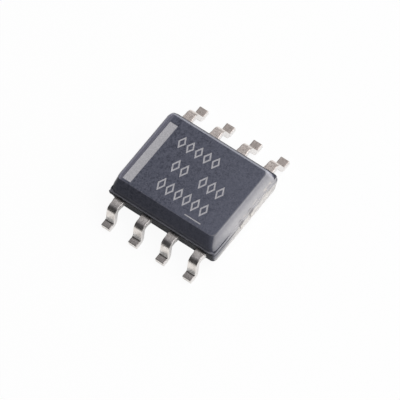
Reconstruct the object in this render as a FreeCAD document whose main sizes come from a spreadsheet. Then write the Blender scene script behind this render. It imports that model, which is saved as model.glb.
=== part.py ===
import FreeCAD, Part
import math
import os
import re
import Sketcher

# An eight-lead small-outline chip with gull-wing leads, in millimetres and degrees.
# X runs along the two rows of leads, Y across them and Z up. The origin lies on the
# seating plane, under the middle of the moulding. Leads 1 to 4 are on the -Y side,
# counted towards +X, and leads 5 to 8 on the +Y side, counted back towards -X.

SIZES = {
    # Moulding: a lower half, a straight band above the parting plane, a ledge, an upper half
    "body_length": 4.96,
    "body_width": 3.97,
    "body_top": 1.50,
    "standoff": 0.13,
    "band_height": 0.19,
    "side_ledge": 0.06,
    "end_ledge": 0.04,
    "end_draft_upper": 18.0,
    "side_draft_upper": 16.0,
    "end_draft_lower": 12.0,
    "side_draft_lower": 7.5,
    "bevel_depth": 0.22,
    "bevel_height": 0.36,
    "corner_radius": 0.18,
    "upper_corner_radius": 0.25,
    "top_round": 0.12,
    "bottom_round": 0.06,
    "gate_length": 0.30,
    "gate_width": 0.17,
    "gate_inset": 0.09,
    "gate_slant": 0.04,
    "ejector_diameter": 0.90,
    "ejector_depth": 0.03,
    "ejector_spacing": 2.40,
    # Leads outside the moulding
    "lead_pitch": 1.27,
    "lead_span": 6.00,
    "lead_width": 0.40,
    "sheet_thickness": 0.20,
    "lead_top": 0.79,
    "shoulder_reach": 0.525,
    "riser_lean": 20.0,
    "bend_radius": 0.09,
    "ear_width": 0.44,
    "ear_reach": 0.19,
    "ear_root": 0.08,
    # Fingers inside the moulding
    "finger_gap": 0.25,
    "head_length": 0.36,
    "middle_head_width": 0.80,
    "corner_tip_place": 0.75,
    # Die paddle and its tie bars
    "paddle_length": 2.60,
    "paddle_width": 2.00,
    "paddle_corner": 0.12,
    "paddle_drop": 0.22,
    "drop_angle": 45.0,
    "drop_margin": 0.08,
    "tie_bar_width": 0.15,
    "tie_bar_spacing": 0.60,
    "tie_bar_stub": 0.02,
    # Die and the adhesive under it
    "die_length": 1.60,
    "die_width": 1.20,
    "die_thickness": 0.25,
    "glue_thickness": 0.03,
    "glue_margin": 0.05,
    # Bond wires
    "wire_diameter": 0.05,
    "ball_diameter": 0.11,
    "ball_height": 0.03,
    "loop_rise": 0.17,
    "loop_radius": 0.09,
    "pad_inset": 0.14,
    "landing_depth": 0.17,
    "middle_pad_place": 0.22,
    "corner_pad_place": 0.62,
}
LEADS_PER_SIDE = 4
KINKS_PER_LOOP = 2

doc = FreeCAD.newDocument("SoicChip")
sheet = doc.addObject("Spreadsheet::Sheet", "Sizes")
for row, (size_name, size_value) in enumerate(SIZES.items(), start=1):
    sheet.set(f"A{row}", size_name)
    sheet.set(f"B{row}", str(size_value))
    sheet.setAlias(f"B{row}", size_name)
doc.recompute()


def bound(text):
    """The text as an expression, with the sheet's name before each size."""
    return re.sub(r"\b(" + "|".join(SIZES) + r")\b", r"Sizes.\1", text)


def number(text):
    """The present value of an expression in the sheet's sizes."""
    return float(sheet.evalExpression(bound(text)))


def bind(thing, **expressions):
    """Binds properties to expressions; a double underscore stands for a dot."""
    for prop, text in expressions.items():
        thing.setExpression(prop.replace("__", "."), bound(text))


def constrain(sketch, kind, *where, size=None):
    """Adds one constraint, bound to an expression where a size is given."""
    if size is None:
        sketch.addConstraint(Sketcher.Constraint(kind, *where))
        return
    index = sketch.addConstraint(Sketcher.Constraint(kind, *where, number(size)))
    sketch.setExpression(f"Constraints[{index}]", bound(size))


def draw_outline(sketch, corners):
    """A closed outline through corners (across, up) or (across, up, radius)."""
    spots = [FreeCAD.Vector(number(c[0]), number(c[1]), 0) for c in corners]
    count = len(corners)
    cuts = []
    for i, corner in enumerate(corners):
        behind = (spots[i - 1] - spots[i]).normalize()
        ahead = (spots[(i + 1) % count] - spots[i]).normalize()
        radius = number(corner[2]) if len(corner) > 2 else 0
        reach = radius / math.tan(behind.getAngle(ahead) / 2)
        turns_left = ahead.cross(behind).z > 0
        middle = spots[i] + (behind + ahead).normalize() * (
            math.hypot(radius, reach) - radius)
        cuts.append((spots[i] + behind * reach, middle, spots[i] + ahead * reach, turns_left))
    sides = []
    for i in range(count):
        side = Part.LineSegment(cuts[i][2], cuts[(i + 1) % count][0])
        sides.append(sketch.addGeometry(side))
    for i, corner in enumerate(corners):
        last, following = sides[i - 1], sides[i]
        if len(corner) > 2:
            start, middle, end, turns_left = cuts[i]
            arc = sketch.addGeometry(Part.Arc(start, middle, end))
            first, second = (1, 2) if turns_left else (2, 1)
            constrain(sketch, "Tangent", last, 2, arc, first)
            constrain(sketch, "Tangent", arc, second, following, 1)
            constrain(sketch, "Radius", arc, size=corner[2])
            spot = sketch.addGeometry(Part.Point(spots[i]), True)
            constrain(sketch, "PointOnObject", spot, 1, last)
            constrain(sketch, "PointOnObject", spot, 1, following)
        else:
            constrain(sketch, "Coincident", last, 2, following, 1)
            spot = following
        constrain(sketch, "DistanceX", -1, 1, spot, 1, size=corner[0])
        constrain(sketch, "DistanceY", -1, 1, spot, 1, size=corner[1])


def rectangle(half_length, half_width, radius):
    """The corners of a rounded rectangle about the origin."""
    signs = ((-1, -1), (1, -1), (1, 1), (-1, 1))
    return [(f"{a} * ({half_length})", f"{b} * ({half_width})", radius) for a, b in signs]


def body_sketch(body, name, plane_role, height="0"):
    """A sketch on one of the body's own origin planes, raised by a height."""
    planes = {plane.Role: plane for plane in body.Origin.OriginFeatures}
    sketch = body.newObject("Sketcher::SketchObject", name)
    sketch.AttachmentSupport = [(planes[plane_role], "")]
    sketch.MapMode = "FlatFace"
    bind(sketch, AttachmentOffset__Base__z=height)
    return sketch


def edges_of(shape, wanted):
    """The names of the edges whose middle and direction satisfy a test."""
    names = []
    for i, edge in enumerate(shape.Edges, start=1):
        middle = edge.valueAt((edge.FirstParameter + edge.LastParameter) / 2)
        if wanted(edge, middle):
            names.append(f"Edge{i}")
    return names


def make_moulding():
    """The outside form of the encapsulant, still without its cavities."""
    body = doc.addObject("PartDesign::Body", "Moulding")
    ledge = "(lead_top + band_height)"
    lower_drop = "(lead_top - standoff)"
    upper_rise = f"(body_top - {ledge})"
    outlines = {
        "BottomOutline": ("standoff", f"{lower_drop} * tan(end_draft_lower)",
                          f"{lower_drop} * tan(side_draft_lower)", "corner_radius"),
        "PartingOutline": ("lead_top", "0", "0", "corner_radius"),
        "BandOutline": ("lead_top", "0", "0", "corner_radius"),
        "LedgeOutline": (ledge, "end_ledge", "side_ledge", "upper_corner_radius"),
        "TopOutline": ("body_top", f"end_ledge + {upper_rise} * tan(end_draft_upper)",
                       f"side_ledge + {upper_rise} * tan(side_draft_upper)",
                       "upper_corner_radius"),
    }
    sketches = {}
    for name, (height, end_inset, side_inset, radius) in outlines.items():
        sketches[name] = body_sketch(body, name, "XY_Plane", height)
        corners = rectangle(f"body_length / 2 - ({end_inset})",
                            f"body_width / 2 - ({side_inset})", radius)
        draw_outline(sketches[name], corners)
    doc.recompute()

    lower = body.newObject("PartDesign::AdditiveLoft", "LowerHalf")
    lower.Profile = sketches["BottomOutline"]
    lower.Sections = [sketches["PartingOutline"]]
    lower.Ruled = True
    doc.recompute()

    band = body.newObject("PartDesign::Pad", "Band")
    band.Profile = sketches["BandOutline"]
    bind(band, Length="band_height")
    doc.recompute()

    # What is left of the gate, a sharp tip at the corner beside lead 1
    remnant = body_sketch(body, "GateOutline", "XY_Plane", "lead_top")
    gate_end = "-(body_length / 2 - gate_inset)"
    draw_outline(remnant, [
        (gate_end, "-body_width / 2"),
        (f"{gate_end} + gate_length", "-body_width / 2"),
        (f"{gate_end} + gate_length", "-body_width / 2 + gate_width"),
        (f"{gate_end} + gate_slant", "-body_width / 2 + gate_width"),
    ])
    gate = body.newObject("PartDesign::Pad", "GateRemnant")
    gate.Profile = remnant
    bind(gate, Length="band_height")
    doc.recompute()

    upper = body.newObject("PartDesign::AdditiveLoft", "UpperHalf")
    upper.Profile = sketches["LedgeOutline"]
    upper.Sections = [sketches["TopOutline"]]
    upper.Ruled = True
    doc.recompute()

    top = number("body_top")
    round_edges(body, "TopRound", "top_round", lambda edge, middle: abs(middle.z - top) < 1e-6)

    # The bevel along the side of leads 1 to 4, taken off a wedge taller than the top
    top_side = f"(body_width / 2 - side_ledge - {upper_rise} * tan(side_draft_upper))"
    low_side = (f"(body_width / 2 - side_ledge"
                f" - ({upper_rise} - bevel_height) * tan(side_draft_upper))")
    slope = f"(({low_side} - {top_side} + bevel_depth) / bevel_height)"
    wedge = body_sketch(body, "BevelOutline", "YZ_Plane")
    draw_outline(wedge, [
        (f"-{low_side}", "body_top - bevel_height"),
        (f"-{low_side} + 2 * bevel_height * {slope}", "body_top + bevel_height"),
        ("-body_width", "body_top + bevel_height"),
        ("-body_width", "body_top - bevel_height"),
    ])
    bevel = body.newObject("PartDesign::Pocket", "Bevel")
    bevel.Profile = wedge
    bevel.Midplane = True
    bind(bevel, Length="2 * body_length")
    doc.recompute()

    marks = body_sketch(body, "EjectorOutline", "XY_Plane", "standoff")
    for side in (-1, 1):
        sketch_circle(marks, f"{side} * ejector_spacing / 2", "0",
                      "ejector_diameter / 2")
    pocket = body.newObject("PartDesign::Pocket", "EjectorMarks")
    pocket.Profile = marks
    pocket.Reversed = True
    bind(pocket, Length="ejector_depth")
    doc.recompute()

    bottom = number("standoff")
    round_edges(body, "BottomRound", "bottom_round", lambda edge, middle:
                abs(middle.z - bottom) < 1e-6 and not edge.isClosed())
    return body


def round_edges(body, name, radius, wanted):
    """A fillet on those edges of the body's present shape that satisfy a test."""
    base = body.Tip
    fillet = body.newObject("PartDesign::Fillet", name)
    fillet.Base = (base, edges_of(base.Shape, wanted))
    bind(fillet, Radius=radius)
    doc.recompute()


def sketch_circle(sketch, across, up, radius):
    """A circle whose centre and radius are bound to expressions."""
    centre = FreeCAD.Vector(number(across), number(up), 0)
    circle = sketch.addGeometry(
        Part.Circle(centre, FreeCAD.Vector(0, 0, 1), number(radius)))
    constrain(sketch, "Radius", circle, size=radius)
    constrain(sketch, "DistanceX", -1, 1, circle, 3, size=across)
    constrain(sketch, "DistanceY", -1, 1, circle, 3, size=up)


SIDE_VIEW = FreeCAD.Rotation(FreeCAD.Vector(1, 1, 1), 120)
FRONT_VIEW = FreeCAD.Rotation(FreeCAD.Vector(1, 0, 0), 90)
PLAN_VIEW = FreeCAD.Rotation()


def extrude(name, view, corners, thickness):
    """An outline in one view, extruded to both sides of that view's plane."""
    sketch = doc.addObject("Sketcher::SketchObject", name + "Outline")
    sketch.Placement = FreeCAD.Placement(FreeCAD.Vector(), view)
    draw_outline(sketch, corners)
    solid = doc.addObject("Part::Extrusion", name)
    solid.Base = sketch
    solid.DirMode = "Normal"
    solid.Symmetric = True
    solid.Solid = True
    bind(solid, LengthFwd=thickness)
    return solid


def common(label, *solids):
    """What several solids share, as one node."""
    node = doc.addObject("Part::MultiCommon", label)
    node.Shapes = list(solids)
    node.Label = label
    return node


def lead_side_view():
    """The bent strip of a lead from its finger out to its foot."""
    corner = "(body_width / 2 + shoulder_reach)"
    across = "(sheet_thickness / cos(riser_lean))"
    outer = "bend_radius + sheet_thickness"
    return [
        ("0", "lead_top"),
        ("0", "lead_top - sheet_thickness"),
        (f"{corner} + sheet_thickness * tan(riser_lean) - {across}",
         "lead_top - sheet_thickness", "bend_radius"),
        (f"{corner} + lead_top * tan(riser_lean) - {across}", "0", outer),
        ("lead_span / 2", "0"),
        ("lead_span / 2", "sheet_thickness"),
        (f"{corner} + (lead_top - sheet_thickness) * tan(riser_lean)",
         "sheet_thickness", "bend_radius"),
        (corner, "lead_top", outer),
    ]


def lead_plan_view(is_corner, inward):
    """The flat outline of a lead: head, neck, ears and the strip to the foot."""
    tip = "(paddle_width / 2 + finger_gap)"
    head_end = f"({tip} + head_length)"
    ear_start = "body_width / 2 - ear_root"
    ear_end = "body_width / 2 + ear_reach"
    if is_corner:
        place = f"({(LEADS_PER_SIDE - 1) / 2} * lead_pitch)"
        head_inner = f"({place} - paddle_length / 2 - finger_gap)"
        head_outer = "(lead_width / 2)"
        head_tip = "corner_tip_place"
    else:
        head_inner = "(middle_head_width / 2)"
        head_outer = head_inner
        head_tip = tip
    sides = []
    for sign, head in ((-1, head_outer), (1, head_inner)):
        side = [(head, head_tip), (head, head_end)]
        if head != "(lead_width / 2)":
            side.append(("lead_width / 2", f"{head_end} + {head} - lead_width / 2"))
        else:
            side.pop()
        side += [
            ("lead_width / 2", ear_start),
            ("ear_width / 2", ear_start),
            ("ear_width / 2", ear_end),
            ("lead_width / 2", ear_end),
            ("lead_width / 2", "lead_span / 2"),
        ]
        sides.append([(f"{sign * inward} * ({across})", along) for across, along in side])
    return sides[0] + sides[1][::-1]


def make_lead(lead):
    """One formed lead, made pointing to +Y and then turned to its own side."""
    on_front = lead <= LEADS_PER_SIDE
    column = lead if on_front else 2 * LEADS_PER_SIDE + 1 - lead
    place = column - (LEADS_PER_SIDE + 1) / 2
    is_corner = column in (1, LEADS_PER_SIDE)
    towards_middle = -1 if place > 0 else 1
    inward = -towards_middle if on_front else towards_middle
    strip = extrude(f"LeadStrip{lead}", SIDE_VIEW, lead_side_view(), "lead_pitch")
    plan = extrude(f"LeadPlan{lead}", PLAN_VIEW, lead_plan_view(is_corner, inward),
                   "4 * body_top")
    node = common(f"lead_{lead}", strip, plan)
    turn = 180 if on_front else 0
    node.Placement = FreeCAD.Placement(
        FreeCAD.Vector(), FreeCAD.Rotation(FreeCAD.Vector(0, 0, 1), turn))
    bind(node, Placement__Base__x=f"{place} * lead_pitch")
    return node


def make_box(name, length, width, height, floor, centre_y="0"):
    """A box centred on X, with its underside at a given height."""
    box = doc.addObject("Part::Box", name)
    box.Label = name
    bind(box, Length=length, Width=width, Height=height,
         Placement__Base__x=f"-({length}) / 2",
         Placement__Base__y=f"{centre_y} - ({width}) / 2",
         Placement__Base__z=floor)
    return box


PADDLE_TOP = "(lead_top - paddle_drop)"
DIE_FLOOR = f"({PADDLE_TOP} + glue_thickness)"
DIE_TOP = f"({DIE_FLOOR} + die_thickness)"


def make_paddle():
    """The lowered paddle with two tie bars that rise to each short end."""
    end = "(body_length / 2 + tie_bar_stub)"
    low = "(paddle_length / 2 + drop_margin)"
    high = f"({low} + paddle_drop / tan(drop_angle))"
    shift = "sheet_thickness * tan(drop_angle / 2)"
    under = [
        (end, "lead_top - sheet_thickness"),
        (f"{high} + {shift}", "lead_top - sheet_thickness"),
        (f"{low} + {shift}", f"{PADDLE_TOP} - sheet_thickness"),
    ]
    over = [(low, PADDLE_TOP), (high, "lead_top"), (end, "lead_top")]
    bent = extrude("PaddleStrip", FRONT_VIEW, mirrored(under, over), "body_width")
    blank = extrude("PaddleBlank", PLAN_VIEW,
                    rectangle("paddle_length / 2", "paddle_width / 2", "paddle_corner"),
                    "4 * body_top")
    bars = [make_box(f"TieBars{side}", f"2 * {end}", "tie_bar_width", "2 * body_top",
                     "-body_top / 2", f"{sign} * tie_bar_spacing / 2")
            for side, sign in (("Front", -1), ("Back", 1))]
    plan = doc.addObject("Part::MultiFuse", "PaddlePlan")
    plan.Shapes = [blank] + bars
    return common("die_paddle", bent, plan)


def mirrored(under, over):
    """A closed outline from the right half's lower and upper corners."""
    right = under[::-1] + over[::-1]
    left = [(f"-({across})", up) for across, up in over + under]
    return right + left


def make_wire(lead):
    """A bond wire: a ball on the die, a rise, a kinked bend and a run down to the finger."""
    radius = number("wire_diameter / 2")
    on_front = lead <= LEADS_PER_SIDE
    column = lead if on_front else 2 * LEADS_PER_SIDE + 1 - lead
    along = -1 if column <= LEADS_PER_SIDE / 2 else 1
    across = -1 if on_front else 1
    is_corner = column in (1, LEADS_PER_SIDE)
    pad_x = number("corner_pad_place" if is_corner else "middle_pad_place")
    pad_y = number("die_width / 2 - pad_inset")
    if is_corner:
        land_x = number("paddle_length / 2 + finger_gap + landing_depth")
        land_y = number("corner_tip_place + landing_depth")
    else:
        land_x = number("lead_pitch / 2")
        land_y = number("paddle_width / 2 + finger_gap + landing_depth")
    ball_foot = FreeCAD.Vector(along * pad_x, across * pad_y, number(DIE_TOP))
    landing = FreeCAD.Vector(along * land_x, across * land_y, number("lead_top"))

    up = FreeCAD.Vector(0, 0, 1)
    start = ball_foot + up * number("ball_height")
    peak = start + up * number("loop_rise")
    fall = (landing - peak).normalize()
    outward = FreeCAD.Vector(fall.x, fall.y, 0).normalize()
    turn = fall.getAngle(up)
    bend = number("loop_radius")
    centre = peak - up * bend * math.tan(turn / 2) + outward * bend
    kink_radius = bend / math.cos(turn / KINKS_PER_LOOP / 2)
    points = [start]
    for kink in range(KINKS_PER_LOOP):
        angle = turn * (kink + 0.5) / KINKS_PER_LOOP
        points.append(centre - outward * kink_radius * math.cos(angle)
                      + up * kink_radius * math.sin(angle))
    points.append(landing + fall * number("4 * wire_diameter"))
    section = Part.Wire(Part.Circle(start, up, radius).toShape())
    solid, plain_frame, mitred = True, False, 1
    run = Part.makePolygon(points).makePipeShell([section], solid, plain_frame, mitred)
    ball = Part.makeCylinder(number("ball_diameter / 2"), number("ball_height"), ball_foot)
    depth = number("body_top")
    below = Part.makeBox(depth, depth, depth, landing - FreeCAD.Vector(0.5, 0.5, 1) * depth)
    node = doc.addObject("Part::Feature", f"bond_wire_{lead}")
    node.Shape = ball.fuse(run.cut(below)).removeSplitter()
    return node


moulding = make_moulding()
leads = [make_lead(lead) for lead in range(1, 2 * LEADS_PER_SIDE + 1)]
paddle = make_paddle()
glue = make_box("die_attach", "die_length + 2 * glue_margin", "die_width + 2 * glue_margin",
                "glue_thickness", PADDLE_TOP)
die = make_box("die", "die_length", "die_width", "die_thickness", DIE_FLOOR)
doc.recompute()
wires = [make_wire(lead) for lead in range(1, 2 * LEADS_PER_SIDE + 1)]
doc.recompute()

# The encapsulant is the outside form less everything that it encloses
inserts = doc.addObject("Part::Compound", "Inserts")
inserts.Links = leads + [paddle, glue, die] + wires
encapsulant = doc.addObject("Part::Cut", "body")
encapsulant.Base = moulding
encapsulant.Tool = inserts
doc.recompute()

nodes = [encapsulant] + leads + [paddle, glue, die] + wires
for thing in doc.Objects:
    for state in ("Invalid", "Error"):
        if state in thing.State:
            raise RuntimeError(f"{thing.Name} is in state {state}")
for node in nodes:
    if node.Shape.isNull() or not node.Shape.isValid():
        raise RuntimeError(f"{node.Label} has no valid shape")

os.makedirs("parts", exist_ok=True)
for node in nodes:
    node.Shape.exportStep(f"parts/{node.Label}.step")
    box = node.Shape.BoundBox
    print(f"{node.Label}: {len(node.Shape.Solids)} solid, {node.Shape.Volume:.4f} mm3, "
          f"z {box.ZMin:.3f} to {box.ZMax:.3f}")
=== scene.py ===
import math

import bmesh
import bpy
from mathutils import Matrix, Vector, noise


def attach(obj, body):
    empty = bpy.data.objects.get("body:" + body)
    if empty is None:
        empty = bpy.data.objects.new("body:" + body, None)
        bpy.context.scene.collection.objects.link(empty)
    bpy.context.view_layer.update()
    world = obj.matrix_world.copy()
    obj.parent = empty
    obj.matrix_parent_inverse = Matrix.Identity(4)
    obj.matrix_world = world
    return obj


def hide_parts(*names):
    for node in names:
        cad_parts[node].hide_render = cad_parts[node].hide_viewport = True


# An eight-lead small-outline chip. Sizes in the code are millimetres and are turned
# into metres where a mesh is made. X runs along the leads' rows, Y across, Z up.
# Leads 1 to 4 are in front (-Y), the pale stripe is at the left end (-X).

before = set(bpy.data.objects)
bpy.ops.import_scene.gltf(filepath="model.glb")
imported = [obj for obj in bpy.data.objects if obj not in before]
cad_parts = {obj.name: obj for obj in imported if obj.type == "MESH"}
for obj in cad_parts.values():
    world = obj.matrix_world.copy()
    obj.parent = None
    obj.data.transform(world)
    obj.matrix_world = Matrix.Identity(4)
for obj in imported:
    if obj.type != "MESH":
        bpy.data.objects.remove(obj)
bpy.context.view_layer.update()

MM = 0.001
LEADS_PER_SIDE = 4

# Moulding
BODY_LENGTH = 4.96
BODY_WIDTH = 3.97
BODY_TOP = 1.50
STANDOFF = 0.13
PARTING = 0.79
BAND_TOP = 0.98
SIDE_LEDGE = 0.06
END_LEDGE = 0.04
END_DRAFT_UPPER = math.radians(18)
SIDE_DRAFT_UPPER = math.radians(16)
END_DRAFT_LOWER = math.radians(12)
SIDE_DRAFT_LOWER = math.radians(7.5)
LEFT_SETBACK = 0.07
LEFT_DRAFT_UPPER = math.radians(3.5)
BEVEL_DEPTH = 0.22
BEVEL_HEIGHT = 0.36
BEVEL_ROUND = 0.05
BOTTOM_ROUND = 0.06
CORNER_RADIUS = 0.18
UPPER_CORNER_RADIUS = 0.25
LEFT_ROUND = 0.24
RIGHT_ROUND = 0.08
BACK_ROUND = 0.07
PARTING_GROOVE = 0.020
FLASH = 0.010
FLASH_HEIGHT = 0.03
FLASH_GRAIN = 3.1
GATE_INSET = 0.09
GATE_WIDTH = 0.17
GATE_SLANT = 0.04
EJECTOR_PLACE = 1.2
EJECTOR_RADIUS = 0.45
EJECTOR_DEPTH = 0.03
CORNER_STEPS = 7
SIDE_STEPS = 20

# Leads
LEAD_PITCH = 1.27
LEAD_SPAN = 6.00
LEAD_WIDTH = 0.40
SHEET = 0.20
FRONT_REACH = 0.525
BACK_REACH = 0.49
RISER_LEAN = math.radians(20)
BEND_RADIUS = 0.09
BEND_STEPS = 12
LEAD_EDGE = 0.026
LEAST_EDGE = 0.004
TIP_STEPS = 4
TIP_DRAW = 0.9
EAR_WIDTH = 0.44
EAR_REACH = 0.19
EAR_ROOT = 0.08
EAR_FADE = 0.045
EAR_SHIFT = 0.02
EAR_FADE_STEPS = 6
HEAD_END = 1.61
HEAD_TIP = 1.25
CORNER_HEAD_TIP = 0.75
MIDDLE_HEAD = 0.40
CORNER_HEAD = 0.355
RIPPLE = 0.0025
RIPPLE_GRAIN = 9

# Marks that the laser left on the top: a stripe, a short bar and rows of open diamonds
MARK_DEPTH = 0.010
CUTTER_REACH = 0.05
STRIPE = [(-2.059, -1.46), (-1.696, -1.46), (-1.676, 1.385), (-2.035, 1.385)]
BAR = [(0.78, -1.40), (1.52, -1.40), (1.52, -1.35), (0.78, -1.35)]
STROKE = 0.062
MARK_PITCH = 0.393
MARK_WIDTH = 0.33
# Each row: centre of the first diamond, how many, then Y and height
MARK_ROWS = [
    (-1.13, 5, 0.93, 0.57),
    (-0.72, 2, 0.03, 0.62),
    (0.54, 3, 0.03, 0.62),
    (-0.70, 6, -0.86, 0.63),
]

# Tie bars: how far from the middle, and the darker ring round each on the end
TIE_BAR_PLACE = 0.30
RING_HEIGHT = 0.885
RING_INNER = 0.12
RING_OUTER = 0.17

# Colours of the moulding
COMPOUND_DARK = (0.028, 0.031, 0.050)
COMPOUND_PALE = (0.096, 0.100, 0.135)
COMPOUND_CLOUD = (0.105, 0.110, 0.148)
COMPOUND_BLOTCH = (0.078, 0.083, 0.116)
# Lighter towards the right end
COMPOUND_LIGHTER_RIGHT = (0.120, 0.126, 0.168)
COMPOUND_SPECK = (0.24, 0.24, 0.25)
# Painted shade on the faces turned to the front
PAINTED_FRONT_SHADE = (0.026, 0.027, 0.040)
# Painted shade: near black on the front faces below the band
PAINTED_UNDERCUT_SHADE = (0.010, 0.010, 0.014)
# Painted highlights on the rounded top edges: right, left and back
PAINTED_HIGHLIGHT_RIGHT = (0.16, 0.16, 0.18)
PAINTED_HIGHLIGHT_LEFT = (0.27, 0.268, 0.34)
PAINTED_HIGHLIGHT_BACK = (0.40, 0.40, 0.45)
LEFT_STRIP = (0.152, 0.150, 0.190)
# A painted highlight along the back edge, and a painted dark line of shade outside it
PAINTED_BACK_EDGE_HIGHLIGHT = (0.37, 0.375, 0.43)
PAINTED_BACK_EDGE_SHADE = (0.14, 0.14, 0.155)
# The ends: chalky dust and painted sheen, paler downwards, with painted shade towards the front
CHALK_AND_SHEEN_HIGH = (0.29, 0.285, 0.31)
CHALK_AND_SHEEN_LOW = (0.44, 0.43, 0.445)
PAINTED_END_SHADE = (0.25, 0.25, 0.27)
# Dust and painted reflection of the floor, below the parting line
CREAM_DUST_AND_REFLECTION = (0.74, 0.71, 0.68)
SCUFF = (0.66, 0.61, 0.55)
RING_SHADE = (0.19, 0.18, 0.19)
# Painted shade on the ledge and the back band, a painted highlight on the front ledge's edge,
# painted light on the ledge at the ends
PAINTED_LEDGE_SHADE = (0.035, 0.036, 0.048)
PAINTED_BACK_BAND_SHADE = (0.050, 0.052, 0.068)
PAINTED_LEDGE_HIGHLIGHT = (0.16, 0.16, 0.185)
PAINTED_LEDGE_LIGHT = (0.46, 0.45, 0.46)
PARTING_SHADE = (0.09, 0.09, 0.10)
MARK_DARK = (0.33, 0.325, 0.35)
MARK_PALE = (0.50, 0.49, 0.515)

# Colours of the leads and of what the moulding hides
TIN_DULL = (0.74, 0.69, 0.65)
TIN_BRIGHT = (0.89, 0.85, 0.81)
TIN_STAIN = (0.58, 0.53, 0.495)
TIN_PIT = (0.30, 0.27, 0.25)
# Painted shade on the tops of the feet
PAINTED_FOOT_SHADE = (0.42, 0.385, 0.36)
# Painted shade in the front leads' bends
PAINTED_BEND_SHADE = (0.33, 0.315, 0.34)
# Painted reflection: pale in the front leads' heels
PAINTED_HEEL_REFLECTION = (0.95, 0.93, 0.91)
# Painted reflection tints: bluish on the front leads, warmer on the back ones
FRONT_REFLECTION_TINT = (0.965, 0.96, 0.99)
BACK_REFLECTION_TINT = (1.0, 0.95, 0.95)
CUT_SIDE = (0.84, 0.82, 0.81)
# Painted shade on the roundings between the leads' sides and faces
PAINTED_EDGE_SHADE = (0.40, 0.38, 0.37)
# Painted shadow at the back leads' roots, beside the body
PAINTED_ROOT_SHADOW = (0.20, 0.19, 0.18)
COPPER_DARK = (0.40, 0.36, 0.33)
COPPER_PALE = (0.56, 0.51, 0.47)
# The tie bars' cut ends: dust and painted reflection of the floor below, darker above
TIE_BAR_DUST_AND_REFLECTION = (0.68, 0.65, 0.62)
TIE_BAR_SHADE = (0.23, 0.22, 0.225)
GOLD_DARK = (0.83, 0.60, 0.24)
GOLD_PALE = (0.93, 0.71, 0.33)
GLUE_DARK = (0.42, 0.41, 0.39)
GLUE_PALE = (0.60, 0.59, 0.57)
DIE_DARK = (0.045, 0.05, 0.075)

# Camera, fitted to the photograph's angle: degrees and millimetres. The lamps share its aim
CAMERA_AZIMUTH = 50.982
CAMERA_ELEVATION = 60.808
CAMERA_ROLL = -14.974
CAMERA_DISTANCE = 172.495
AIM = (0, 0, 0.8)
CAMERA_ACROSS = 0.2453
CAMERA_DOWN = 0.5454
CAMERA_LENS = 423.2

# Lamps: name, azimuth and elevation in degrees, distance and size in metres, watts
LAMPS = [
    ("key", 140, 50, 0.20, 0.22, 0.32),
    ("right", 105, 24, 0.22, 0.36, 0.46),
]
FLOOR_HALF = 2.0
FLOOR_GREY = (0.90, 0.90, 0.90, 1)
CONTACT_SHADE = 1.1
SEEN_WHITE = 0.94

# The room: the direction it is brightest in, how bright it is elsewhere, and there
BRIGHT_SIDE = (0.0, 0.93, 0.37)
ROOM_DIM = 0.08
ROOM_BRIGHT = 0.56


# Meshes

def mesh_piece(name, verts, faces, materials):
    """A smooth-shaded mesh object from points in millimetres, with its materials."""
    mesh = bpy.data.meshes.new(name)
    mesh.from_pydata([Vector(v) * MM for v in verts], [], faces)
    for material in materials:
        mesh.materials.append(material)
    piece = bpy.data.objects.new(name, mesh)
    bpy.context.scene.collection.objects.link(piece)
    tidy(piece)
    return piece


def tidy(piece, angle=35):
    """Outward normals, smooth faces, and sharp edges above an angle."""
    shape = bmesh.new()
    shape.from_mesh(piece.data)
    bmesh.ops.recalc_face_normals(shape, faces=shape.faces)
    shape.to_mesh(piece.data)
    shape.free()
    piece.data.shade_smooth()
    piece.data.set_sharp_from_angle(angle=math.radians(angle))


def round_corner(before, corner, after, radius, steps):
    """Points along the rounded corner of a line in a plane; a straight one gets a close pair."""
    a = (Vector(before) - Vector(corner)).normalized()
    b = (Vector(after) - Vector(corner)).normalized()
    turn = math.pi - a.angle(b)
    straight, spread = 0.02, 0.02
    if turn < straight or radius == 0:
        return [Vector(corner) + (a * (1 - t) + b * t) * spread * abs(1 - 2 * t)
                for t in [i / steps for i in range(steps + 1)]]
    reach = radius * math.tan(turn / 2)
    centre = Vector(corner) + (a + b).normalized() * math.hypot(reach, radius)
    start = Vector(corner) + a * reach - centre
    end = Vector(corner) + b * reach - centre
    points = []
    for i in range(steps + 1):
        t = i / steps
        points.append(centre + (start * math.sin((1 - t) * turn)
                                + end * math.sin(t * turn)) / math.sin(turn))
    return points


def loft(rings):
    """Faces between rings of equal length, closed by a face at each end."""
    count = len(rings[0])
    verts = [point for ring in rings for point in ring]
    faces = []
    for level in range(len(rings) - 1):
        for i in range(count):
            j = (i + 1) % count
            base = level * count
            faces.append((base + i, base + j, base + count + j, base + count + i))
    faces.append(tuple(range(count))[::-1])
    faces.append(tuple(range(len(verts) - count, len(verts))))
    return verts, faces


# Materials

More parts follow.
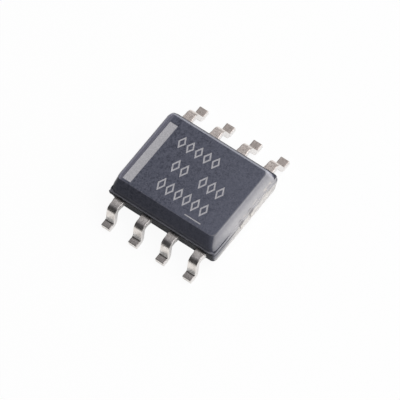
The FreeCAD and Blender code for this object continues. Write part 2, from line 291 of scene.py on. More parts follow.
class Shader:
    """Adds nodes to a material's tree and links their inputs by name or place."""

    def __init__(self, name):
        self.material = bpy.data.materials.new(name)
        self.material.use_nodes = True
        self.tree = self.material.node_tree
        self.surface = self.tree.nodes["Principled BSDF"]

    def add(self, kind, inputs, output=0, **settings):
        made = self.tree.nodes.new(kind)
        for key, value in settings.items():
            setattr(made, key, value)
        self.feed(made, inputs)
        return made.outputs[output]

    def feed(self, made, inputs):
        for key, value in inputs.items():
            if isinstance(value, bpy.types.NodeSocket):
                self.tree.links.new(value, made.inputs[key])
            else:
                made.inputs[key].default_value = value

    def finish(self, inputs):
        self.feed(self.surface, inputs)
        return self.material

    def place(self):
        """The place on the object in millimetres."""
        spot = self.add("ShaderNodeTexCoord", {}, "Object")
        return self.add("ShaderNodeVectorMath", {0: spot, "Scale": 1 / MM}, 0,
                        operation="SCALE")

    def parts(self, vector):
        """The X, Y and Z of a point or a direction."""
        split = self.tree.nodes.new("ShaderNodeSeparateXYZ")
        self.feed(split, {0: vector})
        return [split.outputs[axis] for axis in "XYZ"]

    def locate(self):
        """Looks up where a point lies, and which way the surface faces there."""
        self.where = self.place()
        self.x, self.y, self.z = self.parts(self.where)
        facing = self.add("ShaderNodeTexCoord", {}, "Normal")
        self.facing_x, self.facing_y, self.facing_z = self.parts(facing)

    def noise(self, where, scale, detail=3.0, roughness=0.55, stretch=None):
        if stretch:
            where = self.add("ShaderNodeVectorMath", {0: where, 1: stretch}, 0,
                             operation="MULTIPLY")
        return self.add("ShaderNodeTexNoise", {"Vector": where, "Scale": scale,
                        "Detail": detail, "Roughness": roughness}, "Fac")

    def math(self, operation, a, b=0.0, c=0.0):
        return self.add("ShaderNodeMath", {0: a, 1: b, 2: c}, operation=operation)

    def size(self, value):
        """How large a value is, whatever its sign."""
        return self.math("ABSOLUTE", value)

    def product(self, first, *others):
        """Several masks in one: it shows where all of them do."""
        for other in others:
            first = self.math("MULTIPLY", first, other)
        return first

    def ramp(self, value, low, high, to_low=0.0, to_high=1.0):
        return self.add("ShaderNodeMapRange", {"Value": value, "From Min": low,
                        "From Max": high, "To Min": to_low, "To Max": to_high},
                        interpolation_type="SMOOTHSTEP")

    def blend(self, share, first, second, kind="MIX"):
        made = self.tree.nodes.new("ShaderNodeMix")
        made.data_type = "RGBA"
        made.blend_type = kind
        by_name = {s.identifier: s for s in made.inputs}
        for key, value in (("Factor_Float", share), ("A_Color", first), ("B_Color", second)):
            if isinstance(value, bpy.types.NodeSocket):
                self.tree.links.new(value, by_name[key])
            else:
                by_name[key].default_value = value if key == "Factor_Float" else (*value, 1)
        return {s.identifier: s for s in made.outputs}["Result_Color"]

    def paint(self, under, colour, *masks):
        """A colour laid over another where the masks show."""
        return self.blend(self.product(*masks), under, colour)

    def bump(self, height, depth, strength=1.0, under=None):
        inputs = {"Height": height, "Distance": depth * MM, "Strength": strength}
        if under:
            inputs["Normal"] = under
        return self.add("ShaderNodeBump", inputs)


def plain_compound(s, fine):
    """The clean compound, a little lighter towards the unmarked end, with painted shade on the
    faces turned to the front.
    """
    coarse = s.noise(s.where, 7.0, 3.0, 0.6)
    blotch = s.noise(s.where, 1.5, 4.0, 0.6)
    specks = s.noise(s.where, 30.0, 1.0, 0.5)
    colour = s.blend(s.ramp(fine, 0.36, 0.64), COMPOUND_DARK, COMPOUND_PALE)
    colour = s.paint(colour, COMPOUND_CLOUD, s.ramp(coarse, 0.40, 0.66, 0.0, 0.5))
    colour = s.paint(colour, COMPOUND_BLOTCH, s.ramp(blotch, 0.35, 0.70, 0.0, 0.40))
    colour = s.paint(colour, COMPOUND_LIGHTER_RIGHT, s.ramp(s.x, -1.5, 3.0, 0.0, 0.40))
    colour = s.paint(colour, COMPOUND_SPECK, s.ramp(specks, 0.70, 0.78, 0.0, 0.7))
    # Painted shade on the faces turned to the front
    return s.paint(colour, PAINTED_FRONT_SHADE, s.ramp(s.facing_y, -0.40, -0.75, 0.0, 0.45))


def paint_top_edges(s, colour, edge_highlight):
    """Painted highlights on the top's rounded edges, bluish at the left, a paler strip at the left
    end, and a fine painted highlight and painted shade line along the back.
    """
    strip = s.ramp(s.x, -2.04, -2.09, 0.0, 0.8)
    colour = s.paint(colour, LEFT_STRIP, strip, s.ramp(s.facing_y, -0.45, -0.20))
    # Painted highlights on the rounded top edges
    highlight_colour = s.blend(s.ramp(s.facing_x, -0.05, -0.25), PAINTED_HIGHLIGHT_RIGHT, PAINTED_HIGHLIGHT_LEFT)
    highlight_colour = s.blend(s.ramp(s.facing_y, 0.1, 0.5), highlight_colour, PAINTED_HIGHLIGHT_BACK)
    colour = s.paint(colour, highlight_colour, edge_highlight, 0.9)
    # A painted highlight along the back edge, then a painted dark line of shade outside it
    back_highlight = s.product(s.ramp(s.z, BODY_TOP - 0.10, BODY_TOP - 0.07), s.ramp(s.y, 1.68, 1.70))
    colour = s.paint(colour, PAINTED_BACK_EDGE_HIGHLIGHT, back_highlight, 0.9)
    return s.paint(colour, PAINTED_BACK_EDGE_SHADE, back_highlight, s.ramp(s.y, 1.735, 1.755))


def end_mask(s):
    """Shows on the two end faces, less on the left one, and not low on the front corners."""
    clear = s.math("MAXIMUM", s.ramp(s.z, BAND_TOP - 0.04, BAND_TOP), s.ramp(s.y, -1.94, -1.84))
    return s.product(s.ramp(s.size(s.facing_x), 0.50, 0.72),
                     s.ramp(s.size(s.facing_y), 0.66, 0.48),
                     s.ramp(s.x, -2.0, 2.0, 0.65, 1.0), clear)


def paint_ends(s, colour, ends):
    """Ends painted chalky grey, partly dust and partly painted sheen that pales downwards, with
    painted shade towards the front, cream below the parting line as dust and painted reflection of
    the floor, and scuffed at the band.
    """
    mottle = s.noise(s.where, 6.0, 4.0, 0.7)
    # Chalky dust and painted sheen, paler downwards, with painted shade towards the front
    chalk_and_sheen = s.blend(s.ramp(s.z, 1.42, 1.16), CHALK_AND_SHEEN_HIGH, CHALK_AND_SHEEN_LOW)
    chalk_and_sheen = s.paint(chalk_and_sheen, PAINTED_END_SHADE, s.ramp(s.y, -0.6, -1.6), s.ramp(s.z, 1.38, 1.05), 0.75)
    low_or_back = s.math("MAXIMUM", s.ramp(s.y, -1.3, -0.2), s.ramp(s.z, 0.55, 0.30))
    # Cream below the parting line: dust and painted reflection of the floor
    chalk_and_sheen = s.paint(chalk_and_sheen, CREAM_DUST_AND_REFLECTION, s.ramp(s.z, 0.90, 0.72), s.ramp(mottle, 0.3, 0.5, 0.7, 1.0),
                    low_or_back)
    dust_and_sheen = s.ramp(mottle, 0.25, 0.75, 0.80, 1.0)
    # Laid on in patches, weaker towards the front as painted shade
    colour = s.paint(colour, chalk_and_sheen, ends, dust_and_sheen, s.ramp(s.y, -1.9, -0.6, 0.66, 1.0),
                     s.ramp(s.y, 1.2, 1.8, 1.0, 0.82))
    scuff = s.noise(s.where, 5.0, 4.0, 0.75, (1.0, 0.6, 1.6))
    return s.paint(colour, SCUFF, ends, s.ramp(s.z, 1.16, 0.98), s.ramp(s.z, 0.60, 0.80),
                   s.ramp(scuff, 0.50, 0.62), s.ramp(s.y, -0.6, 0.3), 0.8)


def paint_rings(s, colour, ends):
    """Darker rings round the cut tie bars."""
    beside = s.math("SUBTRACT", s.size(s.y), TIE_BAR_PLACE)
    above = s.math("SUBTRACT", s.z, RING_HEIGHT)
    squares = s.math("ADD", s.math("MULTIPLY", beside, beside), s.math("MULTIPLY", above, above))
    reach = s.math("SQRT", squares)
    return s.paint(colour, RING_SHADE, s.ramp(reach, RING_OUTER, RING_INNER), ends, 0.75)


def paint_ledges(s, colour):
    """Painted shade on the ledge and under it at the back, a painted highlight on the front ledge's
    edge, painted light on the ledge at the ends, and a darker line along the parting line in front.
    """
    front = -BODY_WIDTH / 2
    ledge = s.product(s.ramp(s.z, BAND_TOP - 0.03, BAND_TOP - 0.01),
                      s.ramp(s.z, BAND_TOP + 0.04, BAND_TOP + 0.02),
                      s.ramp(s.facing_z, 0.55, 0.80))
    # Painted shade on the ledge, in front and at the back
    shaded_ledge_sides = s.math("MAXIMUM", s.ramp(s.y, -0.7, -1.3), s.ramp(s.y, 1.74, 1.84))
    colour = s.paint(colour, PAINTED_LEDGE_SHADE, ledge, shaded_ledge_sides,
                     s.ramp(s.y, front + 0.105, front + 0.145, 0.0, 0.85))
    # Painted shade on the back band under the ledge
    colour = s.paint(colour, PAINTED_BACK_BAND_SHADE, s.ramp(s.y, 1.74, 1.88),
                     s.ramp(s.z, BAND_TOP + 0.04, BAND_TOP), s.ramp(s.z, 0.72, 0.80), 0.8)
    # Painted highlight on the front ledge's edge
    colour = s.paint(colour, PAINTED_LEDGE_HIGHLIGHT, ledge,
                     s.ramp(s.y, front + 0.125, front + 0.085, 0.0, 0.9))
    # Painted light on the ledge at the ends, over the shadow line that the shape casts there
    end = BODY_LENGTH / 2
    colour = s.paint(colour, PAINTED_LEDGE_LIGHT, ledge, s.ramp(s.size(s.x), end - 0.07, end - 0.04),
                     s.ramp(s.y, -1.2, -0.7), 0.95)
    away = s.size(s.math("SUBTRACT", s.z, PARTING))
    return s.paint(colour, PARTING_SHADE, s.ramp(away, 0.07, 0.03),
                   s.ramp(s.y, -0.3, -0.9, 0.0, 0.9))


def epoxy_material():
    """Dark blue-grey moulding compound: fine grain, faint blotches, pale ends that are partly
    scuffs and dust and partly painted sheen, painted highlights and shade on edges and ledges,
    painted shade in front.
    """
    s = Shader("moulding_compound")
    s.locate()
    fine = s.noise(s.where, 15.0, 3.0, 0.7)
    undercut = s.product(s.ramp(s.facing_y, -0.60, -0.85),
                         s.ramp(s.z, BAND_TOP + 0.02, BAND_TOP - 0.01))
    # Painted highlight on the rounded top edges, which are also glossier
    edge_highlight = s.product(s.ramp(s.facing_z, 0.995, 0.94), s.ramp(s.facing_z, 0.25, 0.45),
                       s.ramp(s.facing_y, -0.5, -0.2), s.ramp(s.z, 1.05, 1.15))
    ends = end_mask(s)
    colour = plain_compound(s, fine)
    # Painted shade on the front faces below the band
    colour = s.paint(colour, PAINTED_UNDERCUT_SHADE, undercut, 0.9)
    colour = paint_top_edges(s, colour, edge_highlight)
    colour = paint_ends(s, colour, ends)
    colour = paint_rings(s, colour, ends)
    colour = paint_ledges(s, colour)
    rough = s.ramp(fine, 0.2, 0.8, 0.50, 0.66)
    rough = s.math("SUBTRACT", rough, s.product(edge_highlight, 0.16))
    rough = s.math("ADD", rough, s.product(undercut, 0.14))
    grain = s.noise(s.where, 26.0, 3.0, 0.6)
    return s.finish({"Base Color": colour, "Roughness": rough, "Specular IOR Level": 0.35,
                     "Normal": s.bump(grain, 0.006)})


def laser_material():
    """Moulding compound bleached by a laser: pale, dry and slightly speckled."""
    s = Shader("laser_marking")
    fine = s.noise(s.place(), 20.0, 3.0, 0.7)
    colour = s.blend(s.ramp(fine, 0.25, 0.75), MARK_DARK, MARK_PALE)
    rough = s.ramp(fine, 0.2, 0.8, 0.68, 0.85)
    return s.finish({"Base Color": colour, "Roughness": rough,
                     "Normal": s.bump(fine, 0.004)})


def paint_light_and_cut_sides(s, colour, heel, edge_round):
    """Painted light on a lead, and its clean cut sides: painted shade on the feet, front bends and
    edge roundings, a painted reflection in the front heels, a painted reflection tint and a painted
    shadow at the back leads' roots.
    """
    sideways = s.size(s.facing_x)
    # Painted shade on the tops of the feet
    colour = s.paint(colour, PAINTED_FOOT_SHADE, s.ramp(s.size(s.y), 2.52, 2.66),
                     s.ramp(s.facing_z, 0.75, 0.95), 0.6)
    # Painted shade in the front leads' bends
    colour = s.paint(colour, PAINTED_BEND_SHADE, s.ramp(s.y, -2.16, -2.32),
                     s.ramp(s.facing_z, 0.30, 0.50), s.ramp(s.y, -2.50, -2.40, 0.15, 1.0), 0.42)
    # Painted reflection of the floor in the front heels
    colour = s.paint(colour, PAINTED_HEEL_REFLECTION, heel, 0.9)
    # Painted reflection tint, bluish in front and warmer at the back
    reflection_tint = s.blend(s.ramp(s.y, -1.0, 1.0), FRONT_REFLECTION_TINT, BACK_REFLECTION_TINT)
    reflection_tinted = s.blend(1.0, colour, reflection_tint, "MULTIPLY")
    colour = s.paint(colour, reflection_tinted, s.ramp(s.facing_z, 0.6, 0.9))
    colour = s.paint(colour, CUT_SIDE, s.ramp(sideways, 0.80, 0.95), 0.8)
    # Painted shade on the edge roundings
    colour = s.paint(colour, PAINTED_EDGE_SHADE, edge_round, 0.85)
    # Painted shadow on the back leads' +X sides at their roots
    return s.paint(colour, PAINTED_ROOT_SHADOW, s.ramp(s.facing_x, 0.5, 0.8), s.ramp(s.y, 2.10, 2.05),
                   s.ramp(s.y, 1.90, 1.95), 0.8)


def tin_material():
    """Matte tin plating: blotchy grain, warm stains and painted shade on the tops of the feet."""
    s = Shader("matte_tin")
    s.locate()
    sideways = s.size(s.facing_x)
    grain = s.noise(s.where, 11.0, 3.0, 0.6)
    fine = s.noise(s.where, 26.0, 2.0, 0.6)
    stain = s.noise(s.where, 3.2, 4.0, 0.65)
    pits = s.noise(s.where, 17.0, 1.0, 0.5)
    # The front leads' heels, where a reflection of the floor is painted and the tin made less
    # metallic
    heel = s.product(s.ramp(s.z, 0.42, 0.32), s.ramp(s.z, 0.15, 0.20),
                     s.ramp(s.facing_z, 0.80, 0.60), s.ramp(s.y, -2.0, -2.2),
                     s.ramp(sideways, 0.6, 0.4))
    # The roundings between the sides and the faces, darker and rougher
    edge_round = s.product(s.ramp(sideways, 0.30, 0.50), s.ramp(s.facing_z, 0.30, 0.50))
    colour = s.blend(s.ramp(grain, 0.32, 0.68), TIN_DULL, TIN_BRIGHT)
    colour = s.paint(colour, TIN_STAIN, s.ramp(stain, 0.42, 0.75, 0.0, 0.6))
    colour = s.paint(colour, TIN_PIT, s.ramp(pits, 0.68, 0.76, 0.0, 0.6))
    colour = paint_light_and_cut_sides(s, colour, heel, edge_round)
    rough = s.ramp(grain, 0.25, 0.75, 0.24, 0.34)
    rough = s.math("ADD", rough, s.ramp(stain, 0.4, 0.8, 0.0, 0.10))
    rough = s.math("ADD", rough, s.product(edge_round, 0.25))
    lines = s.noise(s.where, 9.0, 3.0, 0.6, (1.0, 6.0, 6.0))
    rippled = s.bump(grain, 0.0025, 1.0, s.bump(lines, 0.002))
    # Less metallic where the heel's reflection is painted
    metal = s.math("SUBTRACT", 1.0, s.product(heel, 0.8))
    return s.finish({"Base Color": colour, "Metallic": metal, "Roughness": rough,
                     "Normal": s.bump(fine, 0.0008, 1.0, rippled)})


def copper_material():
    """Bare copper alloy inside; the tie bars' cut ends are painted like the ends around them: pale
    below as dust and painted reflection, darker above.
    """
    s = Shader("copper_alloy")
    where = s.place()
    x, _, z = s.parts(where)
    grain = s.noise(where, 18.0, 3.0, 0.6)
    colour = s.blend(s.ramp(grain, 0.3, 0.7), COPPER_DARK, COPPER_PALE)
    # Painted like the ends around them: dust and painted reflection below, darker above
    dust_and_sheen = s.blend(s.ramp(z, 0.77, 0.83), TIE_BAR_DUST_AND_REFLECTION, TIE_BAR_SHADE)
    cut = s.ramp(s.size(x), 2.35, 2.40)
    colour = s.paint(colour, dust_and_sheen, cut, 0.9)
    return s.finish({"Base Color": colour, "Metallic": s.math("SUBTRACT", 1.0, cut),
                     "Roughness": s.ramp(grain, 0.2, 0.8, 0.44, 0.58),
                     "Normal": s.bump(grain, 0.004)})


def gold_material():
    """Drawn gold for the bond wires."""
    s = Shader("gold_wire")
    grain = s.noise(s.place(), 18.0, 3.0, 0.6)
    colour = s.blend(s.ramp(grain, 0.3, 0.7), GOLD_DARK, GOLD_PALE)
    return s.finish({"Base Color": colour, "Metallic": 1.0,
                     "Roughness": s.ramp(grain, 0.2, 0.8, 0.16, 0.30),
                     "Normal": s.bump(grain, 0.004)})


def glue_material():
    """Silver-filled adhesive under the die."""
    s = Shader("die_adhesive")
    grain = s.noise(s.place(), 30.0, 3.0, 0.6)
    colour = s.blend(s.ramp(grain, 0.3, 0.7), GLUE_DARK, GLUE_PALE)
    return s.finish({"Base Color": colour, "Metallic": 0.4, "Roughness": 0.6,
                     "Normal": s.bump(grain, 0.003)})


def silicon_material():
    """A dark polished die with a faint grid of circuit blocks."""
    s = Shader("silicon_die")
    cells = s.add("ShaderNodeTexVoronoi", {"Vector": s.place(), "Scale": 9.0}, "Color",
                  distance="CHEBYCHEV")
    colour = s.blend(0.25, DIE_DARK, cells, "SOFT_LIGHT")
    return s.finish({"Base Color": colour, "Metallic": 0.6, "Roughness": 0.22})


EPOXY = epoxy_material()
LASER = laser_material()
TIN = tin_material()
COPPER = copper_material()
GOLD = gold_material()
GLUE = glue_material()
SILICON = silicon_material()


# The moulding

def side_profile(draft_lower, draft_upper, ledge, top_round=None, setback=0.0):
    """Corners (inset, height, radius, steps) of one side, from the underside to the top.
    A side with no rounding at the top has the bevel."""
    low = (PARTING - STANDOFF) * math.tan(draft_lower)
    knee_height = BODY_TOP - BEVEL_HEIGHT
    knee = ledge + (knee_height - BAND_TOP) * math.tan(draft_upper)
    top = ledge + (BODY_TOP - BAND_TOP) * math.tan(draft_upper)
    if top_round is None:
        upper = [(knee, knee_height, BEVEL_ROUND, 4), (top + BEVEL_DEPTH, BODY_TOP, BEVEL_ROUND, 8)]
    else:
        upper = [(knee, knee_height, 0, 4), (top, BODY_TOP, top_round, 8)]
    slope = PARTING_GROOVE * math.tan(draft_lower)
    edge = ledge / 4
    corners = [(low, STANDOFF, BOTTOM_ROUND, 5), (slope, PARTING - PARTING_GROOVE, 0, 2),
               (PARTING_GROOVE, PARTING, 0, 2), (0, PARTING + PARTING_GROOVE, 0, 2),
               (0, BAND_TOP, edge, 2), (ledge, BAND_TOP, edge, 2)] + upper
    return [(inset + setback, *rest) for inset, *rest in corners]


def rounded_profile(corners):
    """The corners of one side as points (inset, height), with a close ring on each flat."""
    support, beyond = 0.03, 0.5
    first, last = corners[0], corners[-1]
    line = ([(first[0] + beyond, first[1])] + [c[:2] for c in corners]
            + [(last[0] + beyond, last[1])])
    points = []
    for i, (inset, height, radius, steps) in enumerate(corners, start=1):
        points += round_corner(line[i - 1], line[i], line[i + 1], radius, steps)
    start, end = points[0], points[-1]
    return ([Vector((start.x + support, start.y))] + points
            + [Vector((end.x + support, end.y))])


def smooth(t):
    """Eases from 0 to 1 with no kink at either end."""
    return t * t * (3 - 2 * t)


def ring_corners(left, right, back, front):
    """Corners of one ring: middle (x, y), radius, first direction, heights before and after."""
    west = BODY_LENGTH / 2 - left.x
    east = BODY_LENGTH / 2 - right.x
    rear = BODY_WIDTH / 2 - back.x
    fore = BODY_WIDTH / 2 - front.x
    share = min(1.0, back.x / SIDE_LEDGE) if back.y > PARTING + 0.05 else 0.0
    wide = CORNER_RADIUS + share * (UPPER_CORNER_RADIUS - CORNER_RADIUS)
    return [
        (east - wide, -fore + wide, wide, -90, front.y, right.y),
        (east - wide, rear - wide, wide, 0, right.y, back.y),
        (-west + wide, rear - wide, wide, 90, back.y, left.y),
        (-west + wide, -fore + wide, wide, 180, left.y, front.y),
    ]


def on_circle(x, y, radius, degrees):
    """A point on a circle, in a direction given in degrees."""
    angle = math.radians(degrees)
    return x + radius * math.cos(angle), y + radius * math.sin(angle)


def moulding_rings():
    """Rings of points round the moulding, one for each step of the side profiles."""
    left = side_profile(END_DRAFT_LOWER, LEFT_DRAFT_UPPER, END_LEDGE, LEFT_ROUND, LEFT_SETBACK)
    right = side_profile(END_DRAFT_LOWER, END_DRAFT_UPPER, END_LEDGE, RIGHT_ROUND)
    back = side_profile(SIDE_DRAFT_LOWER, SIDE_DRAFT_UPPER, SIDE_LEDGE, BACK_ROUND)
    front = side_profile(SIDE_DRAFT_LOWER, SIDE_DRAFT_UPPER, SIDE_LEDGE)
    rings = []
    for sides in zip(*(rounded_profile(side) for side in (left, right, back, front))):
        corners = ring_corners(*sides)
        back_point = sides[2]
        on_band = back_point.x < 0.01 and back_point.y > PARTING - 0.03
        ring = []
        for i, (x, y, radius, start, before, after) in enumerate(corners):
            for step in range(CORNER_STEPS + 1):
                t = step / CORNER_STEPS
                height = before + (after - before) * smooth(t)
                ring.append(Vector((*on_circle(x, y, radius, start + 90 * t), height)))
            if i == 3 and on_band:
                ring[-4:] = gate_tip(ring[-4:])
            next_x, next_y, next_radius, next_start, next_height, _ = corners[(i + 1) % 4]
            target = Vector((*on_circle(next_x, next_y, next_radius, next_start), next_height))
            leaving = ring[-1].copy()
            for step in range(1, SIDE_STEPS):
                ring.append(leaving.lerp(target, step / SIDE_STEPS))
        rings.append(ring)
    return rings


def gate_tip(points):
    """The end of a corner's points, drawn out to the sharp remnant of the mould's gate."""
    tip = Vector((-BODY_LENGTH / 2 + GATE_INSET, -BODY_WIDTH / 2))
    root = tip + Vector((GATE_SLANT, GATE_WIDTH))
    # Shares of the way from the tip: two points along the slant, then one back to the front
    outline = [tip.lerp(root, 0.26), tip.lerp(root, 0.13), tip,
               tip.lerp(points[-1].to_2d(), 0.6)]
    return [Vector((*place, point.z)) for place, point in zip(outline, points)]


def flash(rings):
    """A thin uneven line of flash where the two halves of the mould met."""
    for ring in rings:
        for point in ring:
            near = max(0.0, 1 - abs(point.z - PARTING) / FLASH_HEIGHT)
            if near:
                spot = Vector((point.x * FLASH_GRAIN, point.y * FLASH_GRAIN, 4.0))
                wave = 0.5 + 0.5 * noise.noise(spot)
                out = Vector((point.x / BODY_LENGTH, point.y / BODY_WIDTH, 0)).normalized()
                point += out * FLASH * wave * near
    return rings


def prism(outline, low, high, hole=None):
    """Points and faces of an upright prism, with a hole of as many corners if one is given."""
    count = len(outline)
    loops = [outline] if hole is None else [outline, hole]
    verts = [(x, y, z) for loop in loops for z in (low, high) for x, y in loop]
    faces = []
    for k in range(len(loops)):
        base = 2 * k * count
        for i in range(count):
            j = (i + 1) % count
            wall = (base + i, base + j, base + count + j, base + count + i)
            faces.append(wall if k == 0 else wall[::-1])
    if hole is None:
        faces += [tuple(range(count))[::-1], tuple(range(count, 2 * count))]
    else:
        for i in range(count):
            j = (i + 1) % count
            faces.append((i, 2 * count + i, 2 * count + j, j))
            faces.append((count + i, count + j, 3 * count + j, 3 * count + i))
    return verts, faces


def circle(x, y, radius, count=48):
    """The corners of a round outline."""
    return [(x + radius * math.cos(2 * math.pi * i / count),
             y + radius * math.sin(2 * math.pi * i / count)) for i in range(count)]


def lozenge(x, y, width, height):
    """The corners of an upright diamond."""
    return [(x, y - height / 2), (x + width / 2, y), (x, y + height / 2), (x - width / 2, y)]


def mark_prisms():
    """What the laser takes off the top."""
    low, high = BODY_TOP - MARK_DEPTH, BODY_TOP + CUTTER_REACH
    yield prism(STRIPE, low, high)
    yield prism(BAR, low, high)
    for first, count, y, height in MARK_ROWS:
        slant = math.hypot(MARK_WIDTH, height)
        inner_width = MARK_WIDTH - 2 * STROKE * slant / height
        inner_height = height - 2 * STROKE * slant / MARK_WIDTH
        for i in range(count):
            x = first + i * MARK_PITCH
            yield prism(lozenge(x, y, MARK_WIDTH, height), low, high,
                        lozenge(x, y, inner_width, inner_height))


def cutter(groups):
    """One closed mesh of many prisms, each with its material's place."""
    shape = bmesh.new()
    for (verts, faces), place in groups:
        made = [shape.verts.new(Vector(v) * MM) for v in verts]
        for face in faces:
            shape.faces.new([made[i] for i in face]).material_index = place
    bmesh.ops.recalc_face_normals(shape, faces=shape.faces)
    mesh = bpy.data.meshes.new("cutter")
    shape.to_mesh(mesh)
    shape.free()
    for material in (EPOXY, LASER):
        mesh.materials.append(material)
    piece = bpy.data.objects.new("cutter", mesh)
    bpy.context.scene.collection.objects.link(piece)
    return piece


def apply_modifiers(piece):
    """Puts the modified shape into the piece's own mesh."""
    depsgraph = bpy.context.evaluated_depsgraph_get()
    mesh = bpy.data.meshes.new_from_object(piece.evaluated_get(depsgraph))
    piece.modifiers.clear()
    piece.data = mesh


def make_moulding():
    """The moulded body, with the laser's marks and the ejectors' cut into it."""
    verts, faces = loft(flash(moulding_rings()))
    piece = mesh_piece("moulding", verts, faces, (EPOXY, LASER))
    ejectors = [(prism(circle(x, 0, EJECTOR_RADIUS), STANDOFF - CUTTER_REACH,
                       STANDOFF + EJECTOR_DEPTH), 0)
                for x in (-EJECTOR_PLACE, EJECTOR_PLACE)]
    tool = cutter(ejectors + [(marks, 1) for marks in mark_prisms()])
    cut = piece.modifiers.new("marks", "BOOLEAN")
    cut.operation = "DIFFERENCE"
    cut.solver = "EXACT"
    cut.object = tool
    apply_modifiers(piece)
    bpy.data.objects.remove(tool)
    tidy(piece)
    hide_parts("body")
    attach(piece, "root")


# The leads

def lead_bends(reach):
    """Points along the two bends of a lead's middle line, as (distance, height)."""
    across = SHEET / math.cos(RISER_LEAN)
    corner = BODY_WIDTH / 2 + reach
    slope = math.tan(RISER_LEAN)
    high, low = PARTING - SHEET / 2, SHEET / 2
    first = (corner + SHEET / 2 * slope - across / 2, high)
    second = (corner + high * slope - across / 2, low)
    radius = BEND_RADIUS + SHEET / 2
    return (round_corner((0, high), first, second, radius, BEND_STEPS)
            + round_corner(first, second, (LEAD_SPAN / 2, low), radius, BEND_STEPS))


def lead_halves(is_corner):
    """Rows of distance along the lead, then half width towards the middle of the row of
    leads and half width away from it."""
    half, ear = LEAD_WIDTH / 2, EAR_WIDTH / 2
    ear_start = BODY_WIDTH / 2 - EAR_ROOT
    ear_end = BODY_WIDTH / 2 + EAR_REACH
    if is_corner:
        tip, inner, outer = CORNER_HEAD_TIP, CORNER_HEAD, half
    else:
        tip, inner, outer = HEAD_TIP, MIDDLE_HEAD, MIDDLE_HEAD
    table = [(tip, inner, outer), (HEAD_END, inner, outer)]
    table += [(HEAD_END + max(inner, outer) - half, half, half)]
    table += [(ear_start - 0.01, half, half), (ear_start + 0.01, ear, ear)]
    for i in range(EAR_FADE_STEPS + 1):
        t = i / EAR_FADE_STEPS
        width = ear + (half - ear) * smooth(t)
        table.append((ear_end - EAR_FADE + 2 * EAR_FADE * t - EAR_SHIFT, width, width))
    return table


def lead_stations(on_front, is_corner):
    """Stations along a lead: point on its middle line, two half widths, and how far the
    section draws in all round at the rounded tip."""
    high = PARTING - SHEET / 2
    half = LEAD_WIDTH / 2
    stations = [(Vector((distance, high)), inner, outer, 0.0)
                for distance, inner, outer in lead_halves(is_corner)]
    stations += [(point, half, half, 0.0)
                 for point in lead_bends(FRONT_REACH if on_front else BACK_REACH)]
    for i in range(TIP_STEPS + 1):
        angle = math.radians(90 * i / TIP_STEPS)
        reach = LEAD_SPAN / 2 - LEAD_EDGE + LEAD_EDGE * math.sin(angle)
        shrink = LEAD_EDGE * (1 - math.cos(angle)) * TIP_DRAW
        stations.append((Vector((reach, SHEET / 2)), half, half, shrink))
    return stations


def section(inner, outer, thickness, shrink):
    """A rounded rectangle (across, through), from -outer to +inner."""
    radius = max(LEAST_EDGE, LEAD_EDGE - shrink)
    left, right = -outer + shrink, inner - shrink
    low, high = -thickness / 2 + shrink, thickness / 2 - shrink
    steps, support = 4, 0.022
    flat = min(support, 0.4 * (thickness / 2 - shrink - radius))
    points = []
    for x, y, start in ((right, low, -90), (right, high, 0), (left, high, 90), (left, low, 180)):
        middle_x = x - radius if x == right else x + radius
        middle_y = y + radius if y == low else y - radius
        arc = [on_circle(middle_x, middle_y, radius, start + 90 * i / steps)
               for i in range(steps + 1)]
        first = math.radians(start)
        last = math.radians(start + 90)
        before = (arc[0][0] + flat * math.sin(first), arc[0][1] - flat * math.cos(first))
        after = (arc[-1][0] - flat * math.sin(last), arc[-1][1] + flat * math.cos(last))
        points += [before] + arc + [after]
    return points


def make_lead(number):
    """A formed lead: leads 1 to 4 in front from the left, 5 to 8 at the back from the right."""
    on_front = number <= LEADS_PER_SIDE
    column = number if on_front else 2 * LEADS_PER_SIDE + 1 - number
    place = (column - (LEADS_PER_SIDE + 1) / 2) * LEAD_PITCH
    towards = 1 if place < 0 else -1
    side = -1 if on_front else 1
    stations = lead_stations(on_front, column in (1, LEADS_PER_SIDE))
    tip_start = len(stations) - TIP_STEPS - 1
    rings = []
    for i, (point, inner, outer, shrink) in enumerate(stations):
        before = stations[max(0, i - 1)][0]
        after = stations[min(len(stations) - 1, i + 1)][0]
        along = (after - before).normalized()
        normal = Vector((-along.y, along.x))
        ring = []
        for across, through in section(inner, outer, SHEET, shrink):
            spot = point + normal * through
            x = place + towards * across
            y, z = side * spot.x, spot.y
            if i < tip_start and point.x > BODY_WIDTH / 2:
                # The leads at the back take another part of the noise
                along_noise = spot.x * RIPPLE_GRAIN + 20 * side
                ripple = RIPPLE * noise.noise(Vector((x * RIPPLE_GRAIN, along_noise,
                                                      spot.y * RIPPLE_GRAIN)))
                z += normal.y * ripple
                y += side * normal.x * ripple
            ring.append((x, y, max(z, 0.0)))
        rings.append(ring)
    verts, faces = loft(rings)
    piece = mesh_piece(f"lead_{number}_formed", verts, faces, (TIN,))
    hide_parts(f"lead_{number}")
    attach(piece, "root")


# What the moulding hides, and the tie bars' cut ends

def finish_hidden_parts():
    """Materials for the solids that need no new shape."""
    finishes = {"die_paddle": COPPER, "die_attach": GLUE, "die": SILICON}
    for name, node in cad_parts.items():
        finish = GOLD if name.startswith("bond_wire") else finishes.get(name)
        if finish:
            node.data.materials.clear()
            node.data.materials.append(finish)


# Floor, light and camera

def direction(azimuth, elevation):
    """A direction from compass angles in degrees; azimuth 0 is -Y, 90 is +X."""
    turn, rise = math.radians(azimuth), math.radians(elevation)
    return Vector((math.sin(turn) * math.cos(rise), -math.cos(turn) * math.cos(rise),
                   math.sin(rise)))


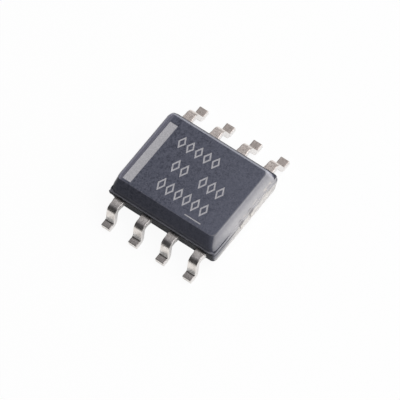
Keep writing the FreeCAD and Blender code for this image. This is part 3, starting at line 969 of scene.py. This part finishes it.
def make_floor():
    """A pale floor, near white to the camera, and white in the metal except by the chip."""
    mesh = bpy.data.meshes.new("floor")
    mesh.from_pydata([(-FLOOR_HALF, -FLOOR_HALF, 0), (FLOOR_HALF, -FLOOR_HALF, 0),
                      (FLOOR_HALF, FLOOR_HALF, 0), (-FLOOR_HALF, FLOOR_HALF, 0)],
                     [], [(0, 1, 2, 3)])
    s = Shader("white_floor")
    s.feed(s.surface, {"Base Color": FLOOR_GREY, "Roughness": 0.9,
                       "Specular IOR Level": 0.0})
    path = s.tree.nodes.new("ShaderNodeLightPath")
    glow = s.add("ShaderNodeEmission", {"Color": (1, 1, 1, 1), "Strength": 1.0})
    mirrored = s.math("MAXIMUM", path.outputs["Is Glossy Ray"],
                      path.outputs["Is Transmission Ray"])
    openness = s.add("ShaderNodeAmbientOcclusion", {"Distance": CONTACT_SHADE * MM}, "AO")
    mirrored = s.product(mirrored, s.ramp(openness, 0.2, 0.95, 0.25, 1.0))
    seen = s.product(path.outputs["Is Camera Ray"], SEEN_WHITE)
    share = s.math("MAXIMUM", mirrored, seen)
    mixed = s.add("ShaderNodeMixShader", {0: share, 1: s.surface.outputs[0], 2: glow})
    s.tree.links.new(mixed, s.tree.nodes["Material Output"].inputs["Surface"])
    mesh.materials.append(s.material)
    floor = bpy.data.objects.new("floor", mesh)
    bpy.context.scene.collection.objects.link(floor)


def make_world():
    """A dim room that is brighter above and behind, and white to the camera."""
    world = bpy.data.worlds.new("room")
    bpy.context.scene.world = world
    world.use_nodes = True
    tree = world.node_tree
    add = tree.nodes.new
    tree.nodes.clear()
    spot = add("ShaderNodeTexCoord")
    dot = add("ShaderNodeVectorMath")
    dot.operation = "DOT_PRODUCT"
    dot.inputs[1].default_value = Vector(BRIGHT_SIDE).normalized()
    tree.links.new(spot.outputs["Generated"], dot.inputs[0])
    ramp = add("ShaderNodeMapRange")
    ramp.interpolation_type = "SMOOTHSTEP"
    for key, value in (("From Min", 0.0), ("From Max", 0.75),
                       ("To Min", ROOM_DIM), ("To Max", ROOM_BRIGHT)):
        ramp.inputs[key].default_value = value
    tree.links.new(dot.outputs["Value"], ramp.inputs["Value"])
    path = add("ShaderNodeLightPath")
    mix = add("ShaderNodeMix")
    mix.data_type = "FLOAT"
    tree.links.new(path.outputs["Is Camera Ray"], mix.inputs[0])
    tree.links.new(ramp.outputs[0], mix.inputs[2])
    mix.inputs[3].default_value = 1.0
    glow = add("ShaderNodeBackground")
    tree.links.new(mix.outputs[0], glow.inputs["Strength"])
    out = add("ShaderNodeOutputWorld")
    tree.links.new(glow.outputs[0], out.inputs[0])


def softbox(name, azimuth, elevation, distance, size, power):
    """A square lamp that faces the chip."""
    lamp = bpy.data.lights.new(name, "AREA")
    lamp.shape = "SQUARE"
    lamp.size = size
    lamp.energy = power
    thing = bpy.data.objects.new(name, lamp)
    bpy.context.scene.collection.objects.link(thing)
    thing.location = direction(azimuth, elevation) * distance
    away = thing.location - Vector(AIM) * MM
    thing.rotation_mode = "QUATERNION"
    thing.rotation_quaternion = away.to_track_quat("Z", "Y")
    thing.visible_camera = False


def make_camera():
    """The camera at the photograph's angle, with no shift and no depth of field."""
    back = direction(CAMERA_AZIMUTH, CAMERA_ELEVATION)
    turn, roll = math.radians(CAMERA_AZIMUTH), math.radians(CAMERA_ROLL)
    right = Vector((math.cos(turn), math.sin(turn), 0))
    up = back.cross(right)
    across = right * math.cos(roll) + up * math.sin(roll)
    upward = up * math.cos(roll) - right * math.sin(roll)
    data = bpy.data.cameras.new("camera")
    camera = bpy.data.objects.new("camera", data)
    bpy.context.scene.collection.objects.link(camera)
    axes = Matrix((across, upward, back)).transposed().to_4x4()
    middle = Vector(AIM) + across * CAMERA_ACROSS - upward * CAMERA_DOWN
    camera.matrix_world = Matrix.Translation((middle + back * CAMERA_DISTANCE) * MM) @ axes
    data.sensor_width = 36
    data.lens = CAMERA_LENS
    data.clip_start = 0.01
    data.clip_end = 20
    bpy.context.scene.camera = camera


make_moulding()
for lead in range(1, 2 * LEADS_PER_SIDE + 1):
    make_lead(lead)
finish_hidden_parts()

make_floor()
make_world()
for lamp in LAMPS:
    softbox(*lamp)
make_camera()
bpy.context.scene.view_settings.view_transform = "Standard"
